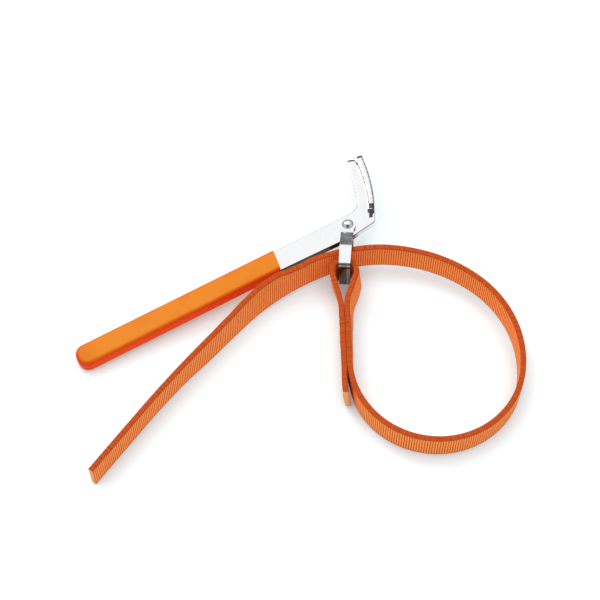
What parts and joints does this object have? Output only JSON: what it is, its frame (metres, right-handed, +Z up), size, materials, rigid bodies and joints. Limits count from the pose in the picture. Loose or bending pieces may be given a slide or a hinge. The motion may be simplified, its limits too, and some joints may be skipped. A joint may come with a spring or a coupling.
{
  "type": "oil filter wrench",
  "caption": "Strap wrench for oil filters: steel lever with toothed cam jaw, vinyl grip, bent link and a webbing loop with a free tail.",
  "frame": {"origin": "centre of the resting tool's plan box, on the surface it lies on", "axes": "+Z up from that surface; +X along the tool's longest side, from the free tail and grip towards the filter loop; +Y towards the jaw's tip"},
  "size_m": [0.2726, 0.2188, 0.0265],
  "materials": {
    "polished_steel": "polished",
    "grip_vinyl": "semi-gloss dipped vinyl",
    "webbing": "ribbed woven webbing",
    "thread": "sewing thread"
  },
  "bodies": {
    "lever": {"lever_plate": "polished_steel", "jaw_shoe": "polished_steel", "grip": "grip_vinyl"},
    "link": {"link": "polished_steel", "pivot_rivet": "polished_steel"},
    "strap": {"strap_loop": "webbing", "stitching": "thread"},
    "tail": {"strap_tail": "webbing"}
  },
  "joints": [
    {"name": "link_pivot", "type": "hinge", "parent": "lever", "child": "link", "pos_m": [0.03071, 0.05983, 0.01392], "axis": [-0.0404, -0.0221, 0.9989], "range_deg": [-1, 85]},
    {"name": "strap_swivel", "type": "hinge", "parent": "link", "child": "strap", "pos_m": [0.02776, 0.02384, 0.01315], "axis": [0, -0.0228, 0.9997], "range_deg": [-4, 3.5]},
    {"name": "tail_flex", "type": "hinge", "parent": "strap", "child": "tail", "pos_m": [0.01824, 0.03406, 0.01338], "axis": [0, -0.0228, 0.9997], "range_deg": [-1, 25]}
  ]
}
